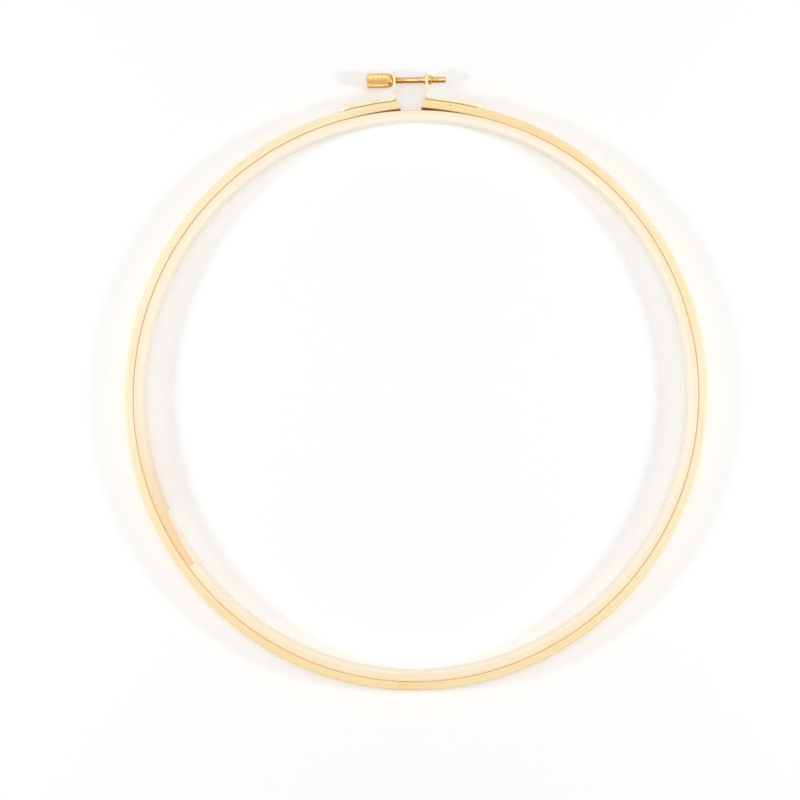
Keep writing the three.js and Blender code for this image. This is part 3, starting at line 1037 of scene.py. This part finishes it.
class HOOP_PG_stage(bpy.types.PropertyGroup):
    floor_colour: colour_setting("Floor", "Colour of the paper floor", "#fefdfd")
    floor_lift: share_setting("Floor, white", "How much of the floor is plain white", 0.08)
    # Painted light under the clamp, which weakens its shadow
    floor_clamp_light: share_setting("Floor, clamp", "The same under the clamp", 0.55)
    side_level: share_setting("Side lights", "Each side light's share of the light", 0.125)
    top_level: share_setting("Top light", "The top light's share of the light", 0.32)
    room_level: share_setting("Room light", "The room's share of the light", 0.51)
    sweep_level: share_setting("Paper sweep", "More light from low near and far", 0.6)


# Operators


class HOOP_OT_inner_ring(bpy.types.Operator):
    """Makes the inner ring, a closed beech strip"""

    bl_idname = "hoop.inner_ring"
    bl_label = "Inner ring"

    def execute(self, context):
        looks = context.scene.hoop_wood
        piece = new_object("inner_ring_wood", make_inner_ring(looks))
        outward(piece.data)
        warm, sanded = looks.warm_colour, looks.edge_light_colour
        spots = [
            ((694, 2, MIDDLE), (190, ALL, ALL), 0.3, warm),
            ((0, 0, MIDDLE), (ALL, 3, ALL), 0.27, warm),
            ((445, 0, MIDDLE), (75, 4, ALL), 0.2, warm),
            # Painted light: the inner edge by the field is paler in two stretches, which
            # lightens the shaded inner wall
            ((626, 4.3, MIDDLE), (260, 1.2, ALL), 0.5, sanded),
            ((282, 4.3, MIDDLE), (80, 1.2, ALL), 0.5, sanded),
        ]
        colours = (looks.inner_pale, looks.inner_shade, looks.inner_layer)
        wood = beech("pale_beech", looks, colours, spots, lap_start=3.1, stain_length=100 * MM)
        piece.data.materials.append(wood)
        smooth(piece)
        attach(piece, "inner")
        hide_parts("inner_ring")
        return {"FINISHED"}


class HOOP_OT_outer_ring(bpy.types.Operator):
    """Makes the outer ring, one beech strip that is open at the slit"""

    bl_idname = "hoop.outer_ring"
    bl_label = "Outer ring"

    def execute(self, context):
        looks = context.scene.hoop_wood
        piece = new_object("outer_ring_wood", make_outer_ring(looks))
        outward(piece.data)
        seat_tails(piece)
        mark_grain(piece.data, outside_face, 1, OUTER_SCARF)
        warm = looks.warm_colour
        top = RING_HEIGHT / MM
        spots = [
            ((0, 2, MIDDLE), (190, ALL, ALL), 0.54, warm),
            ((STRIP_LENGTH / MM, 2, MIDDLE), (190, ALL, ALL), 0.66, warm),
            ((271, 0, MIDDLE), (65, 6.5, ALL), 0.28, warm),
            ((491, 0, MIDDLE), (55, 6.5, ALL), 0.22, warm),
            ((668, 0, MIDDLE), (45, 6.5, ALL), 0.25, warm),
            ((372, 0, MIDDLE), (88, 6.5, ALL), 0.8, warm),
            ((425, 0, MIDDLE), (42, 6.5, ALL), 0.55, warm),
            # Painted shade in the crevice between the rings beside the slit
            ((419, 0, MIDDLE), (42, 0.6, ALL), 0.74, looks.crevice_shade_colour),
            ((401.3, 2.56, top), (0.75, 0.6, 1.5), 0.6, looks.knot_colour),
        ]
        colours = (looks.outer_pale, looks.outer_shade, looks.outer_layer)
        sawn = (looks.sawn_colour, looks.sawn_colour, looks.outer_layer)
        joint = {"lap_start": 3.4, "stain_length": 22 * MM}
        piece.data.materials.append(beech("beech", looks, colours, spots, **joint))
        piece.data.materials.append(beech("sawn_beech", looks, sawn, [], **joint))
        for polygon in piece.data.polygons:
            polygon.material_index = int(is_sawn(polygon))
        smooth(piece)
        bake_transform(piece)
        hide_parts("outer_ring_left", "outer_ring_right")
        return {"FINISHED"}


class HOOP_OT_straps(bpy.types.Operator):
    """Makes the two bent straps of brass sheet"""

    bl_idname = "hoop.straps"
    bl_label = "Straps"

    def execute(self, context):
        looks = context.scene.hoop_clamp
        for side, name in ((-1, "left"), (1, "right")):
            piece = make_strap(side, f"strap_{name}_brass", looks)
            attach(piece, f"outer_{name}")
            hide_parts(f"strap_{name}")
        return {"FINISHED"}


class HOOP_OT_rivets(bpy.types.Operator):
    """Makes the four rivets, two through each strap's foot"""

    bl_idname = "hoop.rivets"
    bl_label = "Rivets"

    def execute(self, context):
        finish = brass("rolled", context.scene.hoop_clamp)
        rivet = new_object("rivet", turned("rivet", rivet_profile(), steps=32))
        tree = rivet_tree()
        for side, name in ((-1, "left"), (1, "right")):
            piece = make_rivets(side, f"rivets_{name}_brass", rivet, tree, finish)
            nodes = [f"rivet_{name}_{i + 1}" for i in range(len(RIVETS[side]))]
            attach(piece, f"outer_{name}")
            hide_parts(*nodes)
        bpy.data.objects.remove(rivet)
        return {"FINISHED"}


class HOOP_OT_bush(bpy.types.Operator):
    """Makes the threaded bush that is swaged into the right ear"""

    bl_idname = "hoop.bush"
    bl_label = "Threaded bush"

    def execute(self, context):
        piece = new_object("threaded_bush_brass", turned("bush", bush_profile(), steps=72))
        piece.data.transform(Matrix.Translation((EAR_FACE, SCREW_Y, HALF_HEIGHT)))
        outward(piece.data)
        piece.data.materials.append(brass("turned", context.scene.hoop_clamp))
        smooth(piece)
        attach(piece, "outer_right")
        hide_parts("threaded_bush")
        return {"FINISHED"}


class HOOP_OT_thumb_screw(bpy.types.Operator):
    """Makes the thumb screw: knurled head, shoulder and threaded rod"""

    bl_idname = "hoop.thumb_screw"
    bl_label = "Thumb screw"

    def execute(self, context):
        looks = context.scene.hoop_clamp
        head = make_head(looks, brass("knurled", looks))
        rod = make_rod(looks, brass("threaded", looks))
        for part in (head, rod):
            outward(part.data)
            smooth(part, angle=40)
        # The diamonds, the thread, and plain turned brass on the chamfers and the shoulder
        rod.data.polygons.foreach_set("material_index", [1] * len(rod.data.polygons))
        knurl_start = SCREW_BOX[0].x + HEAD_CHAMFER
        knurl_end = SCREW_BOX[0].x + HEAD_LENGTH - HEAD_CHAMFER
        for polygon in head.data.polygons:
            if not knurl_start < polygon.center.x < knurl_end:
                polygon.material_index = 2
        mesh = joined("thumb_screw_brass", [head.data, rod.data])
        for kind in ("threaded", "turned"):
            mesh.materials.append(brass(kind, looks))
        bpy.data.objects.remove(head)
        bpy.data.objects.remove(rod)
        piece = new_object("thumb_screw_brass", mesh)
        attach(piece, "screw")
        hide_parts("thumb_screw")
        return {"FINISHED"}


# The stage. The camera looks straight down, from 745 mm above the rings' upper face.
CAMERA_HEIGHT = 745 * MM + RING_HEIGHT
VIEW_WIDTH = 354.4 * MM
SENSOR = 36 * MM
CAMERA_OFF_CENTRE = (-1.5 * MM, 3.52 * MM)
CAMERA_ROLL = math.radians(-1.0)
CAMERA_SHIFT = (-0.0156, -0.015)

# Where each lamp hangs: its azimuth and elevation in degrees, its distance and its size.
# Brass mirrors the small lamps, and the room where the large one hangs.
SIDE_SIZE = (150 * MM, 150 * MM)
LEFT_LAMP = (182, 28.4, 970 * MM, SIDE_SIZE)
RIGHT_LAMP = (-3, 28.4, 970 * MM, SIDE_SIZE)
TOP_LAMP = (90, 82, 1700 * MM, (2400 * MM, 500 * MM))

# The floor is a square this far to each side. The camera sees it turn white between the
# # first two distances from the middle, and painted light weakens the clamp's shadow
# # between the other two.
FLOOR_REACH = 3
WHITENING = (300 * MM, 800 * MM)
CLAMP_LIGHT_REACH = (8 * MM, 32 * MM)


def softbox(name, place, level, mirrored=True):
    """A lamp that gives the floor under the hoop that share of full light."""
    azimuth, elevation, distance, size = place
    turn, height = math.radians(azimuth), math.radians(elevation)
    flat = math.cos(height)
    towards = Vector((math.cos(turn) * flat, math.sin(turn) * flat, math.sin(height)))
    lamp = bpy.data.lights.new(name, "AREA")
    lamp.shape = "RECTANGLE"
    lamp.size, lamp.size_y = size
    lamp.energy = level * math.pi**2 * distance**2 / towards.z
    body = new_object(name, lamp)
    body.location = Vector((0, CENTRE_Y, 0)) + towards * distance
    body.rotation_euler = towards.to_track_quat("Z", "Y").to_euler()
    body.visible_glossy = mirrored


def make_world(level, sweep):
    """Even room light, stronger from the paper that sweeps up before and behind the
    table. Polished metal also sees the room's dark side, low on the near side."""
    world = bpy.data.worlds.new("room")
    world.use_nodes = True
    world.node_tree.nodes.clear()
    add = partial(add_node, world.node_tree)
    direction = add("ShaderNodeTexCoord").outputs["Generated"]
    axes = add(AXES, direction).outputs
    dark = {"From Min": -0.75, "From Max": -0.2, "To Min": 0.02, "To Max": 1.1}
    near = add(RANGE, {"Value": axes["Y"], **dark}, **SMOOTH)
    dim = {"From Min": 0.4, "From Max": 0.8, "To Min": 1.0, "To Max": 0.75}
    far = add(RANGE, {"Value": axes["Y"], **dim})
    seen = add(MATH, near, far, operation="MULTIPLY")
    paper = {"From Min": 0.1, "From Max": 0.3, "To Min": sweep, "To Max": 0.0}
    low = add(RANGE, {"Value": axes["Z"], **paper})
    ahead = add(MATH, axes["Y"], axes["Y"], operation="MULTIPLY")
    even = add(MATH, low, ahead, level, operation="MULTIPLY_ADD")
    rays = add("ShaderNodeLightPath").outputs
    mirrored = add(MIX, {0: rays["Is Glossy Ray"], 2: even, 3: seen})
    strength = add(MIX, {0: rays["Is Camera Ray"], 2: mirrored, 3: 1.0})
    light = add("ShaderNodeBackground", {"Color": (1, 1, 1, 1), "Strength": strength})
    add("ShaderNodeOutputWorld", {"Surface": light})
    bpy.context.scene.world = world


def make_floor(colour, lift, clamp_light):
    """A sheet of white paper. Near the hoop it keeps the shadow, and the camera sees it
    go over to plain white further out. Under the clamp, painted light, plain white that
    the camera sees, weakens the clamp's shadow."""
    material, add = new_material("white_paper")
    matt = {"Base Color": [*colour, 1], "Roughness": 0.95, "Specular IOR Level": 0.0}
    surface = add("ShaderNodeBsdfPrincipled", matt)
    place = add("ShaderNodeTexCoord").outputs["Object"]
    whites = []
    for centre, (start, end), inside, beyond in (
        ((0, 0, 0), WHITENING, lift, 1.0),
        # Painted light under the clamp, which weakens its shadow
        ((0, SCREW_Y, 0), CLAMP_LIGHT_REACH, clamp_light, 0.0),
    ):
        distance = add(VECTOR, place, centre, operation="DISTANCE").outputs["Value"]
        reach = {"From Min": start, "From Max": end, "To Min": inside, "To Max": beyond}
        whites.append(add(RANGE, {"Value": distance, **reach}, **SMOOTH))
    lighter = add(MATH, *whites, operation="MAXIMUM")
    seen = add("ShaderNodeLightPath").outputs["Is Camera Ray"]
    share = add(MATH, seen, lighter, operation="MULTIPLY")
    white = add("ShaderNodeEmission", {"Strength": 1.0})
    mixed = add("ShaderNodeMixShader", share, surface, white)
    add("ShaderNodeOutputMaterial", {"Surface": mixed})
    far = FLOOR_REACH
    corners = [(-far, -far, 0), (far, -far, 0), (far, far, 0), (-far, far, 0)]
    mesh = bpy.data.meshes.new("floor")
    mesh.from_pydata(corners, [], [(0, 1, 2, 3)])
    mesh.materials.append(material)
    new_object("floor", mesh)


def make_camera():
    camera = bpy.data.cameras.new("camera")
    camera.sensor_width = SENSOR / MM
    camera.lens = SENSOR / MM * (CAMERA_HEIGHT - RING_HEIGHT) / VIEW_WIDTH
    camera.shift_x, camera.shift_y = CAMERA_SHIFT
    camera.clip_start = 10 * MM
    body = new_object("camera", camera)
    x, y = CAMERA_OFF_CENTRE
    body.location = (x, CENTRE_Y + y, CAMERA_HEIGHT)
    body.rotation_euler = (0, 0, CAMERA_ROLL)
    bpy.context.scene.camera = body


class HOOP_OT_stage(bpy.types.Operator):
    """Makes the floor, the lamps and the camera"""

    bl_idname = "hoop.stage"
    bl_label = "Stage"

    def execute(self, context):
        stage = context.scene.hoop_stage
        make_floor(stage.floor_colour, stage.floor_lift, stage.floor_clamp_light)
        make_world(stage.room_level, stage.sweep_level)
        softbox("left_light", LEFT_LAMP, stage.side_level)
        softbox("right_light", RIGHT_LAMP, stage.side_level)
        softbox("top_light", TOP_LAMP, stage.top_level, mirrored=False)
        make_camera()
        context.scene.view_settings.view_transform = "Standard"
        return {"FINISHED"}


class HOOP_PT_panel(bpy.types.Panel):
    """The hoop's pieces and settings"""

    bl_idname = "HOOP_PT_panel"
    bl_label = "Embroidery hoop"
    bl_space_type = "VIEW_3D"
    bl_region_type = "UI"
    bl_category = "Hoop"

    def draw(self, context):
        for operator in OPERATORS:
            self.layout.operator(operator.bl_idname)
        for key in GROUPS:
            group = getattr(context.scene, key)
            box = self.layout.box()
            for name in group.__annotations__:
                box.prop(group, name)


OPERATORS = (
    HOOP_OT_stage,
    HOOP_OT_inner_ring,
    HOOP_OT_outer_ring,
    HOOP_OT_straps,
    HOOP_OT_rivets,
    HOOP_OT_bush,
    HOOP_OT_thumb_screw,
)
GROUPS = {
    "hoop_wood": HOOP_PG_wood,
    "hoop_clamp": HOOP_PG_clamp,
    "hoop_stage": HOOP_PG_stage,
}


def register():
    for group in (*GROUPS.values(), *OPERATORS, HOOP_PT_panel):
        bpy.utils.register_class(group)
    for name, group in GROUPS.items():
        setattr(bpy.types.Scene, name, bpy.props.PointerProperty(type=group))


def unregister():
    for name in GROUPS:
        delattr(bpy.types.Scene, name)
    for group in reversed((*GROUPS.values(), *OPERATORS, HOOP_PT_panel)):
        bpy.utils.unregister_class(group)


def main():
    register()
    bpy.ops.hoop.stage()
    bpy.ops.hoop.inner_ring()
    bpy.ops.hoop.outer_ring()
    bpy.ops.hoop.straps()
    bpy.ops.hoop.rivets()
    bpy.ops.hoop.bush()
    bpy.ops.hoop.thumb_screw()


if __name__ == "__main__":
    main()
